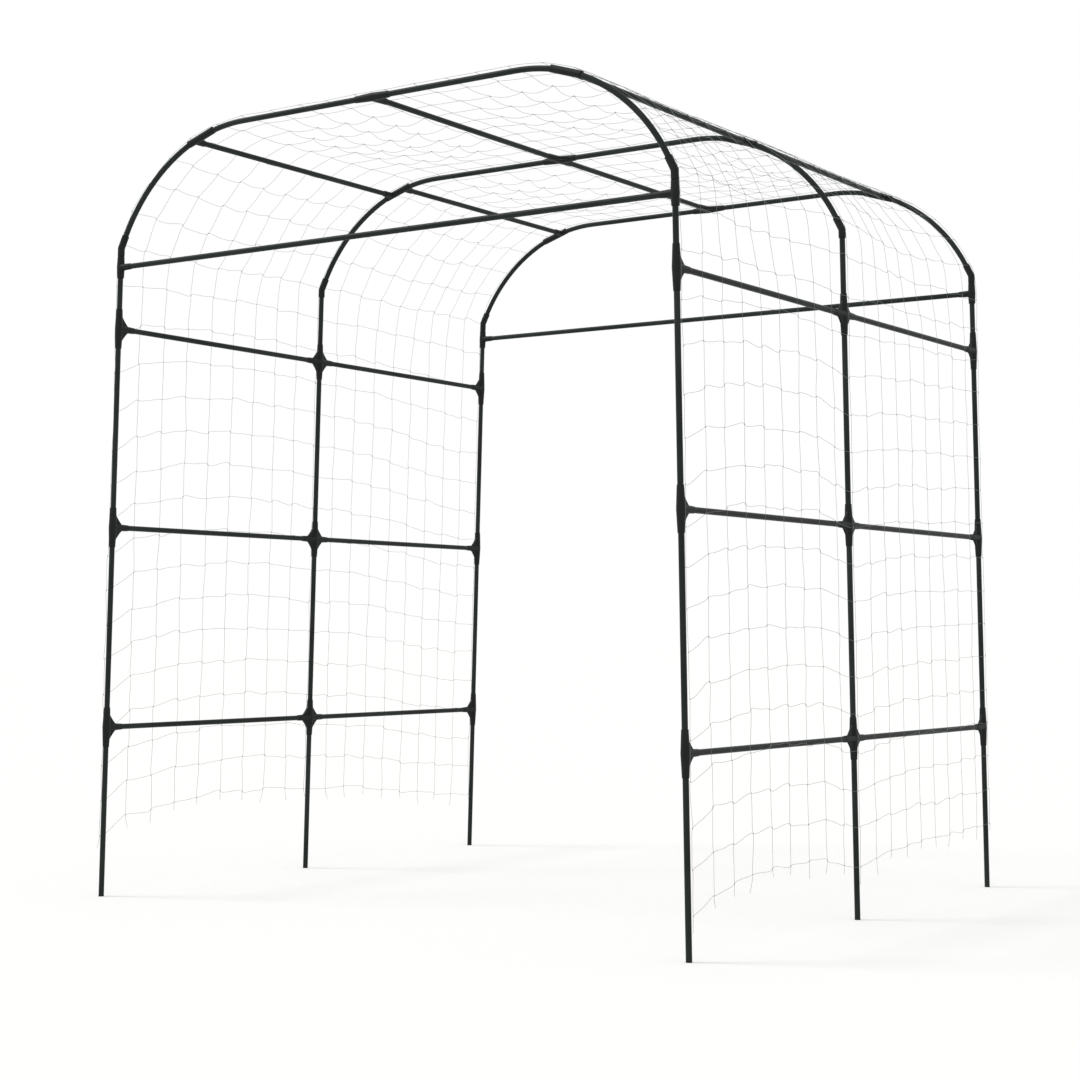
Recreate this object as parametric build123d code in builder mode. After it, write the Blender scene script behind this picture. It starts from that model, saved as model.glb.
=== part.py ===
from build123d import *
from math import cos, radians, sin, tan
import os

# Garden trellis arch: three tube hoops joined by rails along both sides and purlins along the
# roof, in moulded connectors, with a climbing net over it. X runs across the walkway, Y along
# it and Z up. The origin is on the ground, in the middle of the walkway. Sizes are in mm.

# Hoops, measured on the tube axes. Turns are degrees round a shoulder bend from the crown.
crown_height = 2271
crown_straight = 970
shoulder_radius = 530
shoulder_turn = 62.5
shoulder_tail = 42
joint_turn = 17.9
leg_lean = 1.375
bay_length = 920

# Rails, purlins and tie bars
rail_heights = (505, 1105, 1705)
tie_bar_drop = 58
purlin_offset = 27

# Tubes
tube_radius = 8
tube_wall = 0.6

# Connectors. Walls are at the mouths, from which sleeves and arms thicken by the mould's draft.
# A socket floor is the wall between the end of an arm's socket and the bore of the sleeve.
socket_clearance = 0.15
socket_floor = 5.85
tube_end_gap = 1
mould_draft = 2.5
long_sleeve_half = 60
long_sleeve_wall = 1.3
arm_reach = 62
arm_wall = 1
gusset_margin = 15
gusset_thickness = 8
tie_sleeve_half = 32
tie_sleeve_wall = 2.3
tie_arm_reach = 42
shoulder_sleeve_half = 50
shoulder_sleeve_wall = 1.2
shoulder_arm_reach = 38
shoulder_arm_wall = 1.7
elbow_wall = 2.3
elbow_leg_arm = 24
elbow_shoulder_arm = 40
elbow_end_gap = 3

# Net
net_thickness = 0.6
net_clearance = 0.3
net_overhang = 10
left_hem_height = 250
right_hem_height = 160

# Worked out from the values above
lean = radians(leg_lean)
crown_half = crown_straight / 2
bend_height = crown_height - shoulder_radius
draft = tan(radians(mould_draft))
bore_radius = tube_radius + socket_clearance
socket_end = bore_radius + socket_floor
gusset_reach = arm_reach - gusset_margin
long_sleeve_root = bore_radius + long_sleeve_wall + long_sleeve_half * draft
bore_sag = shoulder_sleeve_half**2 / (2 * shoulder_radius)
shoulder_sleeve_radius = bore_radius + bore_sag / 2 + shoulder_sleeve_wall
kink_x = (
    crown_half
    + shoulder_radius * sin(radians(shoulder_turn))
    + shoulder_tail * cos(radians(shoulder_turn))
)
kink_height = (
    bend_height
    + shoulder_radius * cos(radians(shoulder_turn))
    - shoulder_tail * sin(radians(shoulder_turn))
)
end_gap_turn = tube_end_gap / radians(shoulder_radius)
offset_turn = purlin_offset / radians(shoulder_radius)
foot_x = kink_x + kink_height * tan(lean)
tie_height = kink_height - tie_bar_drop
hoops = {"front": -bay_length, "middle": 0, "back": bay_length}
sides = {"left": -1, "right": 1}
levels = dict(zip(("low", "middle", "high"), rail_heights))
os.makedirs("parts", exist_ok=True)


# The point of a leg's axis at a height above the ground.
def leg_point(side, y, height):
    return Vector(side * (foot_x - height * tan(lean)), y, height)


# A plane across a leg: its normal runs up the leg and its x axis runs along the walkway.
def leg_plane(side, y, height, along=1):
    up_the_leg = (-side * sin(lean), 0, cos(lean))
    return Plane(leg_point(side, y, height), x_dir=(0, along, 0), z_dir=up_the_leg)


# A plane across a shoulder bend, a turn down from the crown: its normal runs down the bend and
# its x axis runs along the walkway.
def shoulder_plane(side, y, turn):
    angle = radians(turn)
    origin = Vector(
        side * (crown_half + shoulder_radius * sin(angle)),
        y,
        bend_height + shoulder_radius * cos(angle),
    )
    down_the_bend = (side * cos(angle), 0, -sin(angle))
    return Plane(origin, x_dir=(0, 1, 0), z_dir=down_the_bend)


# The axis that a shoulder is bent around, turning from the crown down to the leg.
def shoulder_axis(side, y):
    return Axis((side * crown_half, y, bend_height), (0, side, 0))


# A straight tube between two points of its axis, closed by the connectors at both ends.
def straight_tube(start, end):
    run = Vector(*end) - Vector(*start)
    with BuildPart() as tube:
        with BuildSketch(Plane(start, z_dir=run)):
            Circle(tube_radius)
        extrude(amount=run.length)
    return tube.part


# A tube along the walkway from the connectors of one hoop to those of the next.
def bay_tube(x, y, height):
    end = socket_end + tube_end_gap
    return straight_tube((x, y + end, height), (x, y + bay_length - end, height))


def save(node, name):
    node.part.label = name
    export_step(node.part, f"parts/{name}.step")


# Legs: four tubes each, which meet inside the side connectors.
for side_name, side in sides.items():
    for hoop_name, y in hoops.items():
        place = f"{side_name}_{hoop_name}"

        with BuildPart() as foot_tube:
            with BuildSketch(leg_plane(side, y, -tube_radius)):
                Circle(tube_radius)
                Circle(tube_radius - tube_wall, mode=Mode.SUBTRACT)
            extrude(amount=(rail_heights[0] + tube_radius - tube_end_gap) / cos(lean))
            split(bisect_by=Plane.XY, keep=Keep.TOP)
        save(foot_tube, f"foot_tube_{place}")

        tops = (*rail_heights[1:], kink_height - elbow_end_gap + tube_end_gap)
        for section, low, high in zip(("lower", "upper", "top"), rail_heights, tops):
            with BuildPart() as leg_tube:
                start = leg_point(side, y, low + tube_end_gap)
                add(straight_tube(start, leg_point(side, y, high - tube_end_gap)))
            save(leg_tube, f"{section}_leg_tube_{place}")

# Hoops: two crown tubes meet over the middle of the walkway, each bent down at its outer end,
# and the shoulder tubes run on from them to the elbows.
for hoop_name, y in hoops.items():
    with BuildPart() as crown_tubes:
        for side in sides.values():
            with BuildSketch(shoulder_plane(side, y, 0)):
                Circle(tube_radius)
            extrude(amount=tube_end_gap - crown_half)
            with BuildSketch(shoulder_plane(side, y, 0)):
                Circle(tube_radius)
            revolve(axis=shoulder_axis(side, y), revolution_arc=joint_turn - end_gap_turn)
    save(crown_tubes, f"crown_tubes_{hoop_name}")

    with BuildPart() as shoulder_tubes:
        for side in sides.values():
            with BuildSketch(shoulder_plane(side, y, joint_turn + end_gap_turn)):
                Circle(tube_radius)
            bend = shoulder_turn - joint_turn - end_gap_turn
            revolve(axis=shoulder_axis(side, y), revolution_arc=bend)
            with BuildSketch(shoulder_plane(side, y, shoulder_turn)):
                Circle(tube_radius)
            extrude(amount=shoulder_tail - elbow_end_gap)
    save(shoulder_tubes, f"shoulder_tubes_{hoop_name}")

# Side rails, two in line at each level.
for side_name, side in sides.items():
    for level_name, height in levels.items():
        x = leg_point(side, 0, height).X
        with BuildPart() as side_rails:
            add(bay_tube(x, hoops["front"], height))
            add(bay_tube(x, hoops["middle"], height))
        save(side_rails, f"side_rails_{side_name}_{level_name}")

# Purlins. The shoulder ones sit a little to one side of the joint between crown tube and
# shoulder tube. The left line changes sides at the middle hoop.
purlin_turns = {
    "left": {"front": joint_turn + offset_turn, "back": joint_turn - offset_turn},
    "right": {"front": joint_turn + offset_turn, "back": joint_turn + offset_turn},
}
with BuildPart() as ridge_purlins:
    add(bay_tube(0, hoops["front"], crown_height))
    add(bay_tube(0, hoops["middle"], crown_height))
save(ridge_purlins, "ridge_purlins")

for side_name, side in sides.items():
    with BuildPart() as shoulder_purlins:
        for bay, hoop_name in (("front", "front"), ("back", "middle")):
            seat = shoulder_plane(side, 0, purlin_turns[side_name][bay]).origin
            add(bay_tube(seat.X, hoops[hoop_name], seat.Z))
    save(shoulder_purlins, f"shoulder_purlins_{side_name}")

# Tie bars across the end hoops, level, from tee to tee.
tie_end = leg_point(1, 0, tie_height).X - socket_end - tube_end_gap
for hoop_name in ("front", "back"):
    y = hoops[hoop_name]
    with BuildPart() as tie_bar:
        add(straight_tube((-tie_end, y, tie_height), (tie_end, y, tie_height)))
    save(tie_bar, f"tie_bar_{hoop_name}")


# A round arm or half a sleeve, narrowing from a plane to its mouth. Its bore comes later.
def drafted_arm(root_plane, reach, mouth_wall):
    with BuildPart() as arm:
        with BuildSketch(root_plane):
            Circle(bore_radius + mouth_wall + reach * draft)
        extrude(amount=reach, taper=mould_draft)
    return arm.part


# The bore that a tube goes into, from an arm's mouth down to the socket's floor.
def socket(root_plane, reach):
    with BuildPart() as bore:
        with BuildSketch(root_plane.offset(socket_end)):
            Circle(bore_radius)
        extrude(amount=reach - socket_end)
    return bore.part


# A connector about the origin, with its sleeve along Z and an arm towards +X, or arms both ways.
# A flat web with straight slanted edges braces each arm against the sleeve.
def web_connector(arm_directions):
    sleeve_ends = [Plane((0, 0, 0), z_dir=(0, 0, way)) for way in (1, -1)]
    arms = [Plane((0, 0, 0), z_dir=(direction, 0, 0)) for direction in arm_directions]
    with BuildPart() as connector:
        for sleeve_end in sleeve_ends:
            add(drafted_arm(sleeve_end, long_sleeve_half, long_sleeve_wall))
        for arm in arms:
            add(drafted_arm(arm, arm_reach, arm_wall))
        for direction in arm_directions:
            with BuildSketch(Plane.XZ):
                Polygon(
                    (0, gusset_reach), (direction * gusset_reach, 0), (0, -gusset_reach), align=None
                )
            extrude(amount=gusset_thickness / 2, both=True)
        with BuildSketch(Plane.XY.offset(-long_sleeve_half)):
            Circle(bore_radius)
        extrude(amount=2 * long_sleeve_half, mode=Mode.SUBTRACT)
        for arm in arms:
            add(socket(arm, arm_reach), mode=Mode.SUBTRACT)
    return connector.part


tee = web_connector([1])
cross = web_connector([1, -1])

with BuildPart() as side_tees:
    for side in sides.values():
        for height in rail_heights:
            add(leg_plane(side, hoops["front"], height) * tee)
            add(leg_plane(side, hoops["back"], height, -1) * tee)
save(side_tees, "side_tees")

with BuildPart() as side_crosses:
    for side in sides.values():
        for height in rail_heights:
            add(leg_plane(side, hoops["middle"], height) * cross)
save(side_crosses, "side_crosses")

with BuildPart() as ridge_connectors:
    for hoop_name, along, connector in (("front", 1, tee), ("middle", 1, cross), ("back", -1, tee)):
        seat = Plane((0, hoops[hoop_name], crown_height), x_dir=(0, along, 0), z_dir=(1, 0, 0))
        add(seat * connector)
save(ridge_connectors, "ridge_connectors")


# A tie tee, close under an elbow. Its arm is level, so it is not quite square to the leg.
def tie_tee(side, y):
    up = leg_plane(side, y, tie_height)
    down = Plane(up.origin, z_dir=-up.z_dir)
    arm = Plane(up.origin, z_dir=(-side, 0, 0))
    with BuildPart() as connector:
        add(drafted_arm(up, tie_sleeve_half, tie_sleeve_wall))
        add(drafted_arm(down, tie_sleeve_half, tie_sleeve_wall))
        add(drafted_arm(arm, tie_arm_reach, arm_wall))
        with BuildSketch(up.offset(-tie_sleeve_half)):
            Circle(bore_radius)
        extrude(amount=2 * tie_sleeve_half, mode=Mode.SUBTRACT)
        add(socket(arm, tie_arm_reach), mode=Mode.SUBTRACT)
    return connector.part


with BuildPart() as tie_tees:
    for side in sides.values():
        for hoop_name in ("front", "back"):
            add(tie_tee(side, hoops[hoop_name]))
save(tie_tees, "tie_tees")

# Corner elbows: two straight arms mitred at the kink between leg and shoulder tube.
with BuildPart() as corner_elbows:
    for side in sides.values():
        for y in hoops.values():
            kink = leg_point(side, y, kink_height)
            down_the_leg = Vector(side * sin(lean), 0, -cos(lean))
            angle = radians(shoulder_turn)
            up_the_shoulder = Vector(-side * cos(angle), 0, sin(angle))
            leg_mouth = kink + down_the_leg * elbow_leg_arm
            with BuildLine() as run:
                Polyline(leg_mouth, kink, kink + up_the_shoulder * elbow_shoulder_arm)
            with BuildSketch(Plane(leg_mouth, z_dir=-down_the_leg)):
                Circle(bore_radius + elbow_wall)
                Circle(bore_radius, mode=Mode.SUBTRACT)
            sweep(path=run.line, transition=Transition.RIGHT)
save(corner_elbows, "corner_elbows")


# A connector over the joint in a shoulder, with an arm along the walkway at each stated turn. Its
# sleeve is straight outside, and the bore in it follows the bend.
def shoulder_connector(side, y, arms):
    joint = shoulder_plane(side, y, joint_turn)
    to_bend_axis = (Vector(side * crown_half, y, bend_height) - joint.origin).normalized()
    sleeve = Plane(joint.origin + to_bend_axis * bore_sag / 2, z_dir=joint.z_dir)
    seats = [(shoulder_plane(side, y, turn).origin, (0, along, 0)) for turn, along in arms]
    margin_turn = shoulder_sleeve_half / radians(shoulder_radius)
    with BuildPart() as connector:
        with BuildSketch(sleeve):
            Circle(shoulder_sleeve_radius)
        extrude(amount=shoulder_sleeve_half, both=True)
        for seat, outward in seats:
            with BuildSketch(Plane(seat, z_dir=outward)):
                Circle(bore_radius + shoulder_arm_wall)
            extrude(amount=shoulder_arm_reach)
        with BuildSketch(shoulder_plane(side, y, joint_turn - 2 * margin_turn)):
            Circle(bore_radius)
        revolve(axis=shoulder_axis(side, y), revolution_arc=4 * margin_turn, mode=Mode.SUBTRACT)
        for seat, outward in seats:
            add(socket(Plane(seat, z_dir=outward), shoulder_arm_reach), mode=Mode.SUBTRACT)
    return connector.part


with BuildPart() as shoulder_connectors:
    for side_name, side in sides.items():
        turns = purlin_turns[side_name]
        add(shoulder_connector(side, hoops["front"], [(turns["front"], 1)]))
        add(shoulder_connector(side, hoops["middle"], [(turns["front"], -1), (turns["back"], 1)]))
        add(shoulder_connector(side, hoops["back"], [(turns["back"], -1)]))
save(shoulder_connectors, "shoulder_connectors")

# Climbing net, as one thin sheet over the outside of both walls and the roof.
net_offset = max(long_sleeve_root, shoulder_sleeve_radius + bore_sag / 2) + net_clearance
with BuildPart() as net:
    with BuildSketch(Plane.XZ):
        with BuildLine() as hoop_line:
            leg_line = Line((foot_x, 0), (kink_x, kink_height))
            bend = CenterArc((crown_half, bend_height), shoulder_radius, 90 - shoulder_turn, shoulder_turn)
            Line((kink_x, kink_height), bend @ 0)
            Line(bend @ 1, (0, crown_height))
            mirror(about=Plane.YZ)
            Line((-foot_x, 0), (foot_x, 0))
        walkway = make_face(mode=Mode.PRIVATE)
        offset(walkway, amount=net_offset + net_thickness)
        offset(walkway, amount=net_offset, mode=Mode.SUBTRACT)
        for side_name, hem in (("left", left_hem_height), ("right", right_hem_height)):
            with Locations((sides[side_name] * foot_x, 0)):
                Rectangle(2 * foot_x, 2 * hem, mode=Mode.SUBTRACT)
    extrude(amount=bay_length + net_overhang, both=True)
save(net, "net")
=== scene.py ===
import bpy
import random
from math import cos, floor, pi, radians, sin, tan
from mathutils import Matrix, Vector


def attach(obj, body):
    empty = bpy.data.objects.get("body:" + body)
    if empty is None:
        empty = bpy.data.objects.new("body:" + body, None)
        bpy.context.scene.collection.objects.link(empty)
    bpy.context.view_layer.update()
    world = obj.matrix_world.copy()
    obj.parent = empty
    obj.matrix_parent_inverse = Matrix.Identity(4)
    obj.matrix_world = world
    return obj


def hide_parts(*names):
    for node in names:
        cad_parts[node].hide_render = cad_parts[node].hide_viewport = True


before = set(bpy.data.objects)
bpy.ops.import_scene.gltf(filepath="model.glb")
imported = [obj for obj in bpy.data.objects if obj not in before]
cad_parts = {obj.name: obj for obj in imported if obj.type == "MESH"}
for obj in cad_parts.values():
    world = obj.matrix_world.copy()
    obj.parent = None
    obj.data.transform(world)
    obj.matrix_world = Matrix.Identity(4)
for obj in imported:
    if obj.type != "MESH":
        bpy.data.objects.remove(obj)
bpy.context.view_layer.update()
print("frame loaded:", len(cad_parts), "parts")


# A colour as written on a paint card, turned into the linear values that nodes use
def linearColour(hexCode):
    channels = [int(hexCode[i:i + 2], 16) / 255 for i in (1, 3, 5)]
    return [c / 12.92 if c <= 0.04045 else ((c + 0.055) / 1.055) ** 2.4 for c in channels] + [1]


# Adds one node, sets its properties and inputs, and plugs in whatever links name
def addNode(tree, kind, properties=None, inputs=None, links=None):
    node = tree.nodes.new(kind)
    for name, value in (properties or {}).items():
        setattr(node, name, value)
    for socket, value in (inputs or {}).items():
        node.inputs[socket].default_value = value
    for socket, source in (links or {}).items():
        tree.links.new(source, node.inputs[socket])
    return node


def newMaterial(name):
    material = bpy.data.materials.new(name)
    material.use_nodes = True
    material.node_tree.nodes.clear()
    return material, material.node_tree


def deselectAll():
    for item in bpy.context.selected_objects:
        item.select_set(False)


def pickOnly(item):
    deselectAll()
    bpy.context.view_layer.objects.active = item
    item.select_set(True)


# Puts an object's place, turn and size into its mesh
def applyPlace(item):
    pickOnly(item)
    bpy.ops.object.transform_apply(location=True, rotation=True, scale=True)


def useModifier(item, kind, **values):
    modifier = item.modifiers.new(kind.lower(), kind)
    for name, value in values.items():
        setattr(modifier, name, value)
    pickOnly(item)
    bpy.ops.object.modifier_apply(modifier=modifier.name)


# A copy with its own mesh, put where placing says
def placeCopy(master, placing):
    item = master.copy()
    item.data = master.data.copy()
    item.data.transform(placing)
    bpy.context.collection.objects.link(item)
    return item


def joinAll(items, name):
    deselectAll()
    for item in items:
        item.select_set(True)
    bpy.context.view_layer.objects.active = items[0]
    bpy.ops.object.join()
    joined = bpy.context.object
    joined.name = name
    return joined


# Camera: low, off the front right corner, looking slightly up

cameraSettings = {
    "place": (3.608, -5.277, 0.811),
    "azimuth": 34.86,
    "pitch": 2.43,
    "roll": 0.32,
    "lens": 68.8,
    "filmWidth": 36,
    "farLimit": 200,
}


def makeCamera(settings):
    bpy.ops.object.camera_add()
    camera = bpy.context.object
    camera.name = "studioCamera"
    camera.data.lens = settings["lens"]
    camera.data.sensor_width = settings["filmWidth"]
    camera.matrix_world = (
        Matrix.Translation(settings["place"])
        @ Matrix.Rotation(radians(settings["azimuth"]), 4, "Z")
        @ Matrix.Rotation(radians(90 + settings["pitch"]), 4, "X")
        @ Matrix.Rotation(radians(settings["roll"]), 4, "Z")
    )
    camera.data.clip_end = settings["farLimit"]
    bpy.context.scene.camera = camera
    print("camera ready")


makeCamera(cameraSettings)


# Studio: white floor and surroundings, one soft sun

studioSettings = {
    "floorSize": 160,
    "floorTone": "#f2f2f0",
    "floorLift": 0.2,
    "skyTone": "#ffffff",
    "skyStrength": 0.62,
    "sunStrength": 1.25,
    "sunSpread": 16,
    "sunTurn": (42, 0, -58),
}


def makeStudio(settings):
    scene = bpy.context.scene
    scene.view_settings.view_transform = "Standard"

    bpy.ops.mesh.primitive_plane_add(size=settings["floorSize"], location=(0, 0, 0))
    ground = bpy.context.object
    ground.name = "studioFloor"
    material, tree = newMaterial("matt painted floor")
    paint = addNode(tree, "ShaderNodeBsdfDiffuse",
                    inputs={"Color": linearColour(settings["floorTone"])})
    # The camera sees the floor a little brighter, so that it runs into the white behind it
    ray = addNode(tree, "ShaderNodeLightPath")
    lift = addNode(tree, "ShaderNodeMath", {"operation": "MULTIPLY"}, {1: settings["floorLift"]},
                   {0: ray.outputs["Is Camera Ray"]})
    glow = addNode(tree, "ShaderNodeEmission", links={"Strength": lift.outputs[0]})
    both = addNode(tree, "ShaderNodeAddShader", links={0: paint.outputs[0], 1: glow.outputs[0]})
    addNode(tree, "ShaderNodeOutputMaterial", links={"Surface": both.outputs[0]})
    ground.data.materials.append(material)

    world = bpy.data.worlds.new("studio")
    scene.world = world
    world.use_nodes = True
    tree = world.node_tree
    tree.nodes.clear()
    # Seen straight, in a reflection or through glass the surroundings are white, but the light
    # that they throw is dimmer
    ray = addNode(tree, "ShaderNodeLightPath")
    seen = addNode(tree, "ShaderNodeMath", {"operation": "MAXIMUM"}, links={
        0: ray.outputs["Is Camera Ray"], 1: ray.outputs["Is Glossy Ray"]})
    seen = addNode(tree, "ShaderNodeMath", {"operation": "MAXIMUM"}, links={
        0: seen.outputs[0], 1: ray.outputs["Is Transmission Ray"]})
    strength = addNode(tree, "ShaderNodeMapRange", inputs={
        "To Min": settings["skyStrength"], "To Max": 1}, links={"Value": seen.outputs[0]})
    sky = addNode(tree, "ShaderNodeBackground",
                  inputs={"Color": linearColour(settings["skyTone"])},
                  links={"Strength": strength.outputs[0]})
    addNode(tree, "ShaderNodeOutputWorld", links={"Surface": sky.outputs[0]})

    bpy.ops.object.light_add(type="SUN", rotation=[radians(a) for a in settings["sunTurn"]])
    sun = bpy.context.object
    sun.name = "softSun"
    sun.data.energy = settings["sunStrength"]
    sun.data.angle = radians(settings["sunSpread"])
    print("studio ready")


makeStudio(studioSettings)


# Tubes: mild steel with a baked powder coat, sprayed on dry. It gives a near black, slightly
# green satin skin with a shallow orange peel, a little paler where light grazes it.
steelCoat = {
    "colour": "#272c2b",
    "paler": "#323736",
    "roughness": (0.28, 0.38),
    "refraction": 1.5,
    "specular": 0.06,  # low, so that white surroundings don't wash it out
    "peelSize": 0.0022,  # from one bump of the orange peel to the next
    "peelHeight": 0.00006,
    "patchSize": 0.18,  # how far it is from a paler patch to the next
    "patchEdges": (0.35, 0.7),
    "glossEdges": (0.3, 0.7),
}


def powderCoatedSteel(settings):
    material, tree = newMaterial("powder coated steel")
    place = addNode(tree, "ShaderNodeTexCoord").outputs["Object"]
    patches = addNode(tree, "ShaderNodeTexNoise", inputs={
        "Scale": 1 / settings["patchSize"], "Detail": 3}, links={"Vector": place})
    tone = addNode(tree, "ShaderNodeValToRGB", links={"Fac": patches.outputs["Fac"]})
    tone.color_ramp.elements[0].position = settings["patchEdges"][0]
    tone.color_ramp.elements[0].color = linearColour(settings["colour"])
    tone.color_ramp.elements[1].position = settings["patchEdges"][1]
    tone.color_ramp.elements[1].color = linearColour(settings["paler"])
    gloss = addNode(tree, "ShaderNodeMapRange", inputs={
        "From Min": settings["glossEdges"][0], "From Max": settings["glossEdges"][1],
        "To Min": settings["roughness"][0], "To Max": settings["roughness"][1]},
        links={"Value": patches.outputs["Fac"]})
    peel = addNode(tree, "ShaderNodeTexNoise", inputs={
        "Scale": 1 / settings["peelSize"], "Detail": 1}, links={"Vector": place})
    bump = addNode(tree, "ShaderNodeBump", inputs={"Distance": settings["peelHeight"]},
                   links={"Height": peel.outputs["Fac"]})
    shader = addNode(tree, "ShaderNodeBsdfPrincipled", inputs={
        "IOR": settings["refraction"], "Specular IOR Level": settings["specular"]}, links={
        "Base Color": tone.outputs["Color"], "Roughness": gloss.outputs["Result"],
        "Normal": bump.outputs["Normal"]})
    addNode(tree, "ShaderNodeOutputMaterial", links={"Surface": shader.outputs[0]})
    return material


# Connectors: black polypropylene, injection moulded in an eroded tool. It gives a dull black,
# a shade darker than the tubes, with faint flow marks and a fine even grain.
mouldedBlack = {
    "colour": "#1b1f1e",
    "paler": "#252928",
    "roughness": 0.45,
    "refraction": 1.49,
    "specular": 0.12,
    "flowSize": 0.04,
    "grainSize": 0.0009,  # coarser than a tool leaves, so that it shows close up
    "grainHeight": 0.00004,
}


def mouldedPolypropylene(settings):
    material, tree = newMaterial("moulded polypropylene")
    place = addNode(tree, "ShaderNodeTexCoord").outputs["Object"]
    flow = addNode(tree, "ShaderNodeTexNoise", inputs={
        "Scale": 1 / settings["flowSize"], "Detail": 2}, links={"Vector": place})
    tone = addNode(tree, "ShaderNodeValToRGB", links={"Fac": flow.outputs["Fac"]})
    tone.color_ramp.elements[0].color = linearColour(settings["colour"])
    tone.color_ramp.elements[1].color = linearColour(settings["paler"])
    grain = addNode(tree, "ShaderNodeTexNoise", inputs={
        "Scale": 1 / settings["grainSize"], "Detail": 2}, links={"Vector": place})
    bump = addNode(tree, "ShaderNodeBump", inputs={
        "Distance": settings["grainHeight"]}, links={"Height": grain.outputs["Fac"]})
    shader = addNode(tree, "ShaderNodeBsdfPrincipled", inputs={
        "IOR": settings["refraction"], "Roughness": settings["roughness"],
        "Specular IOR Level": settings["specular"]}, links={
        "Base Color": tone.outputs["Color"], "Normal": bump.outputs["Normal"]})
    addNode(tree, "ShaderNodeOutputMaterial", links={"Surface": shader.outputs[0]})
    return material


# Net: polypropylene twine, drawn and twisted from fine filaments. It gives a thin mid grey
# line with a soft sheen and a slight slant in it.
netTwine = {
    "colour": "#6b716e",
    "paler": "#868c89",
    "roughness": 0.5,
    "refraction": 1.49,
    "twistPitch": 0.005,  # longer than such twine's, so that it shows close up
    "twistWobble": 0.6,
    "twistHeight": 0.0002,
}


def twistedTwine(settings):
    material, tree = newMaterial("twisted polypropylene twine")
    place = addNode(tree, "ShaderNodeTexCoord").outputs["Object"]
    # At a scale of one the wave's bands are a fifth of pi apart
    twist = addNode(tree, "ShaderNodeTexWave", {"bands_direction": "DIAGONAL"}, {
        "Scale": 0.2 * pi / settings["twistPitch"], "Distortion": settings["twistWobble"]},
        {"Vector": place})
    tone = addNode(tree, "ShaderNodeValToRGB", links={"Fac": twist.outputs["Fac"]})
    tone.color_ramp.elements[0].color = linearColour(settings["colour"])
    tone.color_ramp.elements[1].color = linearColour(settings["paler"])
    bump = addNode(tree, "ShaderNodeBump", inputs={"Distance": settings["twistHeight"]},
                   links={"Height": twist.outputs["Fac"]})
    shader = addNode(tree, "ShaderNodeBsdfPrincipled", inputs={
        "IOR": settings["refraction"], "Roughness": settings["roughness"]}, links={
        "Base Color": tone.outputs["Color"], "Normal": bump.outputs["Normal"]})
    addNode(tree, "ShaderNodeOutputMaterial", links={"Surface": shader.outputs[0]})
    return material


finishes = {
    "coated_steel": powderCoatedSteel(steelCoat),
    "connector_plastic": mouldedPolypropylene(mouldedBlack),
    "net_plastic": twistedTwine(netTwine),
}
print("finishes ready")


# Gives an object the finish that goes with a slot's name
def finishWith(item, slotName):
    item.data.materials.clear()
    item.data.materials.append(finishes[slotName])


# Shades an item round, apart from edges that turn by more than so many degrees
def smoothBelow(item, degrees):
    pickOnly(item)
    bpy.ops.object.shade_smooth_by_angle(angle=radians(degrees))


# Tubes and plain connectors: the frame's own parts, kept as they are

plainSettings = {
    "connectors": ("tie_tees", "corner_elbows", "shoulder_connectors"),
    "remadeBelow": ("side_tees", "side_crosses", "ridge_connectors", "net"),
    "sharpAbove": 35,
}

for nodeName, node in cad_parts.items():
    if nodeName in plainSettings["remadeBelow"]:
        continue
    isConnector = nodeName in plainSettings["connectors"]
    finishWith(node, "connector_plastic" if isConnector else "coated_steel")
    smoothBelow(node, plainSettings["sharpAbove"])
print("tubes and plain connectors finished")


# Webbed connectors: a sleeve, one or two arms and a hollow-edged web, moulded in one piece with
# every edge rounded and every corner filled

webbedSettings = {
    "sleeveHalf": 0.060,
    "sleeveRadii": (0.01207, 0.00945),  # at the waist and at the mouths
    "armReach": 0.062,
    "armRadii": (0.01186, 0.00915),  # at the root and at the mouth
    "boreRadius": 0.00815,
    "socketEnd": 0.014,  # from the sleeve's axis to the floor of an arm's socket
    "webReach": (0.046, 0.056),  # along the arm and along the sleeve
    "webHollow": 0.0045,
    "webThickness": 0.008,
    "roundSegments": 64,
    "cutterSegments": 96,
    "cutterLength": 3,  # times what it cuts
    "cutterOvershoot": 0.002,
    "cellSize": 0.0007,  # of the remeshing, which sets how round the corners get
    "softenPasses": 12,
    "softenFactor": 0.5,
    "facesKept": 0.09,
    "mergeWithin": 0.00003,
    "sharpAbove": 40,
    "legLean": 1.375,  # degrees
}


def combine(item, other, operation):
    useModifier(item, "BOOLEAN", object=other, operation=operation, solver="EXACT")
    bpy.data.objects.remove(other)


# The sleeve: a cylinder, cut round its waist and swollen there
def addSleeve(settings):
    root, mouth = settings["sleeveRadii"]
    bpy.ops.mesh.primitive_cylinder_add(
        vertices=settings["roundSegments"], radius=mouth, depth=2 * settings["sleeveHalf"])
    bpy.ops.object.mode_set(mode="EDIT")
    bpy.ops.mesh.select_all(action="SELECT")
    bpy.ops.mesh.bisect(plane_co=(0, 0, 0), plane_no=(0, 0, 1))
    bpy.ops.transform.resize(value=(root / mouth, root / mouth, 1))
    bpy.ops.object.mode_set(mode="OBJECT")
    return bpy.context.object


# An arm: a round stub from the sleeve's axis, thicker at its root
def addArm(settings, x):
    root, mouth = settings["armRadii"]
    bpy.ops.mesh.primitive_cone_add(
        vertices=settings["roundSegments"], radius1=root, radius2=mouth,
        depth=settings["armReach"], location=(x * settings["armReach"] / 2, 0, 0),
        rotation=(0, x * pi / 2, 0))
    arm = bpy.context.object
    applyPlace(arm)
    return arm


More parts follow.
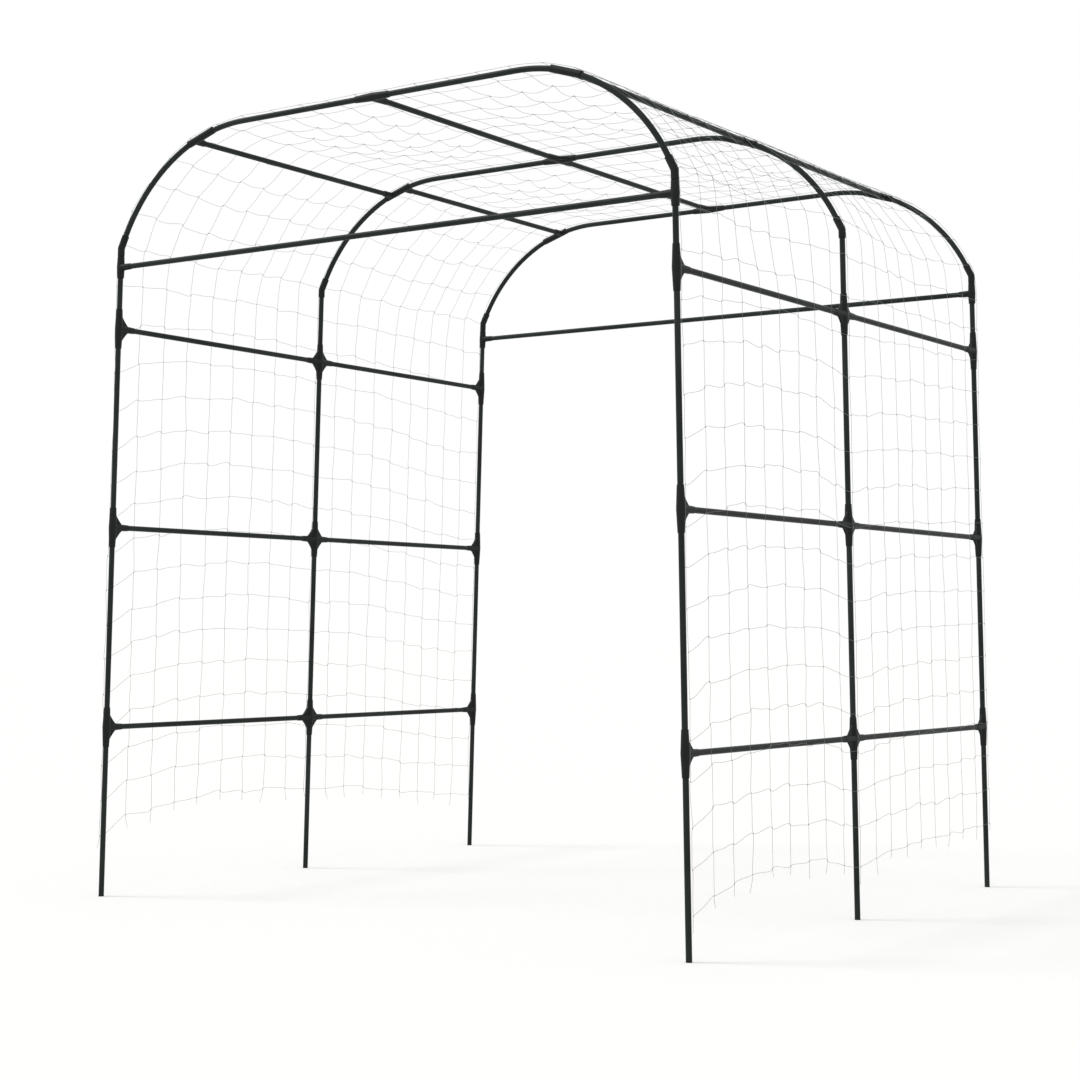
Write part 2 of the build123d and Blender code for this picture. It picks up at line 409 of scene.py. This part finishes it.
# A round cutter, for the hollows of the web, the bore and the sockets
def addCutter(settings, radius, depth, place, rotation=(0, 0, 0)):
    bpy.ops.mesh.primitive_cylinder_add(
        vertices=settings["cutterSegments"], radius=radius, depth=depth, location=place,
        rotation=rotation)
    cutter = bpy.context.object
    applyPlace(cutter)
    return cutter


# The web: a flat plate, its corners cut away along shallow arcs from the arm to the sleeve
def addWeb(settings, directions):
    reachX, reachZ = settings["webReach"]
    left, right = reachX * (-1 in directions), reachX * (1 in directions)
    bpy.ops.mesh.primitive_cube_add(
        size=1, location=((right - left) / 2, 0, 0),
        scale=(left + right, settings["webThickness"], 2 * reachZ))
    web = bpy.context.object
    applyPlace(web)
    # The radius makes an arc that spans a cut and is as deep as the hollow in its middle
    hollow = settings["webHollow"]
    radius = (reachX ** 2 + reachZ ** 2) / (8 * hollow) + hollow / 2
    length = settings["cutterLength"] * settings["webThickness"]
    for x in directions:
        for z in (-1, 1):
            outward = Vector((x * reachZ, 0, z * reachX)).normalized()
            middle = Vector((x * reachX, 0, z * reachZ)) / 2
            centre = middle + outward * (radius - hollow)
            combine(web, addCutter(settings, radius, length, centre, (pi / 2, 0, 0)), "DIFFERENCE")
    return web


# Closes up the needle-thin faces that cutting leaves
def mergeSlivers(item, distance):
    pickOnly(item)
    bpy.ops.object.mode_set(mode="EDIT")
    bpy.ops.mesh.select_all(action="SELECT")
    bpy.ops.mesh.remove_doubles(threshold=distance)
    bpy.ops.mesh.dissolve_degenerate(threshold=distance)
    bpy.ops.object.mode_set(mode="OBJECT")


# The outside is joined and softened first, and bored after that, so that the holes stay crisp
def makeWebbedConnector(name, settings, directions):
    connector = addSleeve(settings)
    for x in directions:
        combine(connector, addArm(settings, x), "UNION")
    combine(connector, addWeb(settings, directions), "UNION")
    useModifier(connector, "REMESH", mode="VOXEL", voxel_size=settings["cellSize"])
    useModifier(connector, "SMOOTH", factor=settings["softenFactor"],
                iterations=settings["softenPasses"])
    bore, overshoot = settings["boreRadius"], settings["cutterOvershoot"]
    length = settings["cutterLength"] * settings["sleeveHalf"]
    combine(connector, addCutter(settings, bore, length, (0, 0, 0)), "DIFFERENCE")
    for x in directions:
        middle = x * (settings["socketEnd"] + settings["armReach"]) / 2
        length = settings["armReach"] - settings["socketEnd"] + overshoot
        place = (middle + x * overshoot / 2, 0, 0)
        combine(connector, addCutter(settings, bore, length, place, (0, pi / 2, 0)), "DIFFERENCE")
    useModifier(connector, "DECIMATE", ratio=settings["facesKept"])
    mergeSlivers(connector, settings["mergeWithin"])
    connector.name = name
    print(name, len(connector.data.polygons), "faces")
    return connector


# Copies of a connector, one for each seat, joined under one name
def seatConnectors(name, settings, master, seats):
    copies = []
    for place, armWay, sleeveWay in seats:
        across = sleeveWay.cross(armWay).normalized()
        turn = Matrix((armWay, across, sleeveWay)).transposed().to_4x4()
        copies.append(placeCopy(master, Matrix.Translation(place) @ turn))
    joined = joinAll(copies, name)
    smoothBelow(joined, settings["sharpAbove"])
    finishWith(joined, "connector_plastic")
    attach(joined, "root")
    return joined


def middleOf(node):
    corners = [Vector(corner) for corner in node.bound_box]
    return sum(corners, Vector()) / len(corners)


tee = makeWebbedConnector("tee", webbedSettings, (1,))
cross = makeWebbedConnector("cross", webbedSettings, (-1, 1))

# Each hoop's place along the walkway, the connector it takes, and which way its arm points
hoops = [
    (middleOf(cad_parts[f"crown_tubes_{hoopName}"]).y, kind, Vector((0, armWay, 0)))
    for hoopName, kind, armWay in (("front", "tee", 1), ("middle", "cross", 1), ("back", "tee", -1))
]
# What each connector's seat holds: its place, its arm's direction and its sleeve's
seats = {"tee": [], "cross": [], "ridge tee": [], "ridge cross": []}
lean = radians(webbedSettings["legLean"])
for sideName, side in (("left", -1), ("right", 1)):
    upTheLeg = Vector((-side * sin(lean), 0, cos(lean)))
    for level in ("low", "middle", "high"):
        rail = middleOf(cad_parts[f"side_rails_{sideName}_{level}"])
        for y, kind, armWay in hoops:
            seats[kind].append((Vector((rail.x, y, rail.z)), armWay, upTheLeg))
ridge = middleOf(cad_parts["ridge_purlins"])
for y, kind, armWay in hoops:
    seats["ridge " + kind].append((Vector((0, y, ridge.z)), armWay, Vector((1, 0, 0))))

for kind, master, nodeName in (
    ("tee", tee, "side_tees"),
    ("cross", cross, "side_crosses"),
    ("ridge tee", tee, "ridge_connectors"),
    ("ridge cross", cross, "ridge_connectors"),
):
    piece = seatConnectors(
        "moulded_" + kind.replace(" ", "_"), webbedSettings, master, seats[kind])
    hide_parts(nodeName)
bpy.data.objects.remove(tee)
bpy.data.objects.remove(cross)
print("webbed connectors ready")


# Climbing net: knotted twine hung over the hoops from hem to hem

netSettings = {
    "columns": 19,
    "meshHeight": 0.105,
    "halfWidth": 0.92,
    "twineRadius": 0.00045,
    "knotSize": (0.0011, 0.0022),  # half as thick and half as long as a knot
    "knotFaces": (6, 5),
    "offset": 0.0134,  # from a tube's axis to the twine
    "crownHalf": 0.485,  # from the middle to the centre of a shoulder's bend
    "bendHeight": 1.741,
    "bendRadius": 0.530,
    "bendTurn": 62.5,  # degrees
    "bendSteps": 16,
    "kink": (0.97451, 1.94847),  # where the leg's line meets the shoulder's
    "legLean": 1.375,  # degrees
    "hems": (0.278, 0.187),  # heights, left and right
    "knotShift": (0.004, 0.005, 0.002),  # along the walkway, round the hoop and outwards
    "knotRoom": 0.07,  # of a mesh, from a knot to where its strand has stepped aside
    "aimAhead": 0.05,  # of a mesh, to turn a knot along its strand
    "rowStep": 0.008,  # how far a strand steps aside at a knot, at most
    "columnStep": 0.004,
    "wallFrom": 1.15,  # round the hoop from the crown's middle
    "wallBlend": 0.45,
    "droop": 0.011,
    "droopSpread": 0.6,
    "looseFrom": 0.006,  # the sink at which a strand is clear of the tubes
    "tail": (0.02, 0.05),
    "tailLean": 0.4,
    "seed": 11,
}

# How far the left and the right wall of the net hang low, at places along the walkway
netSlip = (
    ((-0.92, 0.10), (-0.8, 0.042), (-0.6, 0.014), (-0.4, 0), (-0.2, 0), (0.1, 0.016),
     (0.92, 0.086)),
    ((-0.92, 0.07), (-0.8, 0.03), (-0.6, 0.006), (-0.45, 0), (-0.25, 0), (0, 0.038),
     (0.2, 0.014), (0.4, 0), (0.92, -0.014)),
)

# How far the net sinks between two hoops, at distances round the hoop from the crown's middle
netSink = (
    (0, 0), (0.34, 0.018), (0.68, 0.002), (0.85, 0.020), (1.08, 0.034), (1.36, 0.002), (9, 0),
)


# The line that the net lies on, across the walkway: from the left hem over the roof to the right
def netLine(settings):
    turn = radians(settings["bendTurn"])
    radius = settings["bendRadius"] + settings["offset"]
    lean = radians(settings["legLean"])
    steps = settings["bendSteps"]
    kinkX, kinkZ = settings["kink"]
    line = []
    for side, hem in zip((-1, 1), settings["hems"]):
        outward = Vector((side * cos(lean), sin(lean))) * settings["offset"]
        half = [Vector((side * (kinkX + (kinkZ - hem) * tan(lean)), hem)) + outward]
        half.append(Vector((side * kinkX, kinkZ)) + outward)
        for step in range(steps + 1):
            angle = turn * (1 - step / steps)
            half.append(Vector((side * (settings["crownHalf"] + radius * sin(angle)),
                                settings["bendHeight"] + radius * cos(angle))))
        line = line + half if side < 0 else line + half[::-1]
    return line


# The point and direction at a distance along a line, running on straight past its ends
def alongLine(line, distance):
    for start, end in zip(line, line[1:]):
        run = (end - start).length
        if distance < run or end is line[-1]:
            direction = (end - start).normalized()
            return start + direction * distance, direction
        distance -= run


# What a table of places and amounts gives at a place, easing from each entry to the next
def easeBetween(table, value):
    for (a, low), (b, high) in zip(table, table[1:]):
        if value <= b:
            share = (value - a) / (b - a)
            return low + (high - low) * (1 - cos(pi * share)) / 2
    return 0


# The net's shape: where each point of each strand lies
class NetSurface:
    def __init__(self, settings):
        self.settings = settings
        self.line = netLine(settings)
        self.length = sum((b - a).length for a, b in zip(self.line, self.line[1:]))
        self.rows = round(self.length / settings["meshHeight"])
        draw = random.Random(settings["seed"])
        shift = settings["knotShift"]
        self.shifts = [[[draw.uniform(-1, 1) * s for s in shift] for _ in range(self.rows + 1)]
                       for _ in range(settings["columns"])]
        self.steps = [[(draw.uniform(-1, 1) * settings["rowStep"],
                        draw.uniform(-1, 1) * settings["columnStep"])
                       for _ in range(self.rows + 1)] for _ in range(settings["columns"])]

    # A place on the net, by column and row, and moved on by a step round the hoop. The stray
    # shifts of the four nearest knots fade into each other.
    def place(self, column, row, step=0):
        settings = self.settings
        last = settings["columns"] - 1
        low, high = int(min(max(column, 0), last - 1)), int(min(max(row, 0), self.rows - 1))
        share = (min(max(column - low, 0), 1), min(max(row - high, 0), 1))
        shift = [0, 0, 0]
        for i, wide in ((0, 1 - share[0]), (1, share[0])):
            for j, tall in ((0, 1 - share[1]), (1, share[1])):
                knot = self.shifts[low + i][high + j]
                shift = [s + k * wide * tall for s, k in zip(shift, knot)]
        y = settings["halfWidth"] * (2 * column / last - 1)
        distance = self.length * row / self.rows
        fromCrown = abs(distance - self.length / 2)
        # Down the walls it has slipped, by an amount that changes along the walkway
        onWall = min(max((fromCrown - settings["wallFrom"]) / settings["wallBlend"], 0), 1)
        right = distance > self.length / 2
        slip = easeBetween(netSlip[right], y) * onWall * (1 if right else -1)
        point, direction = alongLine(self.line, distance + slip + shift[1] + step)
        # Between two hoops it sinks inwards
        outward = Vector((-direction.y, direction.x))
        bay = (y / settings["halfWidth"]) % 1
        sink = easeBetween(netSink, fromCrown) * sin(pi * bay) ** 2
        point = point + outward * (abs(shift[2]) - sink)
        # Where it lies flat and touches no tube, each strand droops between its two knots
        loose = min(sink / settings["looseFrom"], 1) * abs(direction.x)
        loose *= 1 + settings["droopSpread"] * shift[2] / settings["knotShift"][2]
        droop = settings["droop"] * loose * sum(4 * s * (1 - s) for s in share)
        return Vector((point.x, y + shift[0], point.y - droop))


netShape = NetSurface(netSettings)


# Parallel straight wires, as a flat mesh two units square
def addWires(wide, tall, alongRows, tolerance):
    bpy.ops.mesh.primitive_grid_add(x_subdivisions=wide, y_subdivisions=tall, size=2)
    wires = bpy.context.object
    bpy.ops.object.mode_set(mode="EDIT")
    bpy.ops.mesh.select_mode(type="EDGE")
    bpy.ops.mesh.select_all(action="DESELECT")
    bpy.ops.object.mode_set(mode="OBJECT")
    across = 1 if alongRows else 0
    for edge in wires.data.edges:
        start, end = (wires.data.vertices[i].co for i in edge.vertices)
        edge.select = abs(start[across] - end[across]) > tolerance
    bpy.ops.object.mode_set(mode="EDIT")
    bpy.ops.mesh.delete(type="EDGE_FACE")
    bpy.ops.object.mode_set(mode="OBJECT")
    return wires


# Wires smoothed and made into round twine
def thickenWires(wires, radius):
    useModifier(wires, "SUBSURF", levels=1, render_levels=1)
    bpy.ops.object.convert(target="CURVE")
    twine = bpy.context.object.data
    twine.bevel_depth = radius
    twine.bevel_resolution = 1
    twine.use_fill_caps = True
    bpy.ops.object.convert(target="MESH")
    bpy.ops.object.shade_smooth()
    return bpy.context.object


# One family of strands, along the rows or down the columns. Each strand has four points to a
# mesh: on a knot, just past it, halfway to the next, and just before that one.
def makeStrands(name, settings, shape, alongRows):
    columns, rows = settings["columns"] - 1, shape.rows
    points = (0, settings["knotRoom"], 0.5, 1 - settings["knotRoom"])
    jogs = (0, 1, 0, -1)
    perMesh = len(points)
    tolerance = 1e-4
    tails = 0 if alongRows else 2
    wide = columns * (perMesh if alongRows else 1)
    tall = (rows + tails) * (1 if alongRows else perMesh)
    strands = addWires(wide, tall, alongRows, tolerance)
    strands.name = name
    draw = random.Random(settings["seed"] + 1)
    spread = settings["tailLean"]
    tailLengths = [[draw.uniform(*settings["tail"]) for _ in range(columns + 1)] for _ in range(2)]
    tailLeans = [[draw.uniform(-spread, spread) for _ in range(columns + 1)] for _ in range(2)]
    for vertex in strands.data.vertices:
        column = (vertex.co.x + 1) / 2 * columns
        row = (vertex.co.y + 1) / 2 * (rows + tails) - tails / 2
        along = column if alongRows else row
        cell = floor(along + tolerance)
        part = round((along - cell) * perMesh)
        along = cell + points[part % perMesh] + (part == perMesh)
        jog = jogs[part % perMesh]
        if alongRows:
            jog *= shape.steps[min(round(along), columns)][round(row)][0]
            vertex.co = shape.place(along, round(row), jog)
            continue
        column = round(column)
        inside = min(max(along, 0), rows)
        vertex.co = shape.place(column, inside)
        # Past the hems a strand hangs on as a loose tail
        over = abs(along - inside)
        if over:
            hem = int(along > 0)
            length = tailLengths[hem][column] * over
            vertex.co.y += tailLeans[hem][column] * length * over
            vertex.co.z -= length
        else:
            vertex.co.y += jog * shape.steps[column][min(round(along), rows)][1]
    return thickenWires(strands, settings["twineRadius"])


# Knots: one lump of crossed turns, copied to every crossing
def makeKnots(name, settings, shape):
    thick, long = settings["knotSize"]
    segments, rings = settings["knotFaces"]
    bpy.ops.mesh.primitive_uv_sphere_add(segments=segments, ring_count=rings, radius=thick)
    lump = bpy.context.object
    bpy.ops.transform.resize(value=(1, 1, long / thick))
    applyPlace(lump)
    knots = []
    for column in range(settings["columns"]):
        for row in range(shape.rows + 1):
            middle = shape.place(column, row)
            ahead = shape.place(column, row + settings["aimAhead"])
            turn = (ahead - middle).to_track_quat("Z", "Y").to_matrix().to_4x4()
            knots.append(placeCopy(lump, Matrix.Translation(middle) @ turn))
    bpy.data.objects.remove(lump)
    joined = joinAll(knots, name)
    bpy.ops.object.shade_smooth()
    return joined


netPieces = [
    makeStrands("net_columns", netSettings, netShape, False),
    makeStrands("net_rows", netSettings, netShape, True),
    makeKnots("net_knots", netSettings, netShape),
]
for piece in netPieces:
    finishWith(piece, "net_plastic")
    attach(piece, "root")
    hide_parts("net")
    print(piece.name, len(piece.data.polygons), "faces")
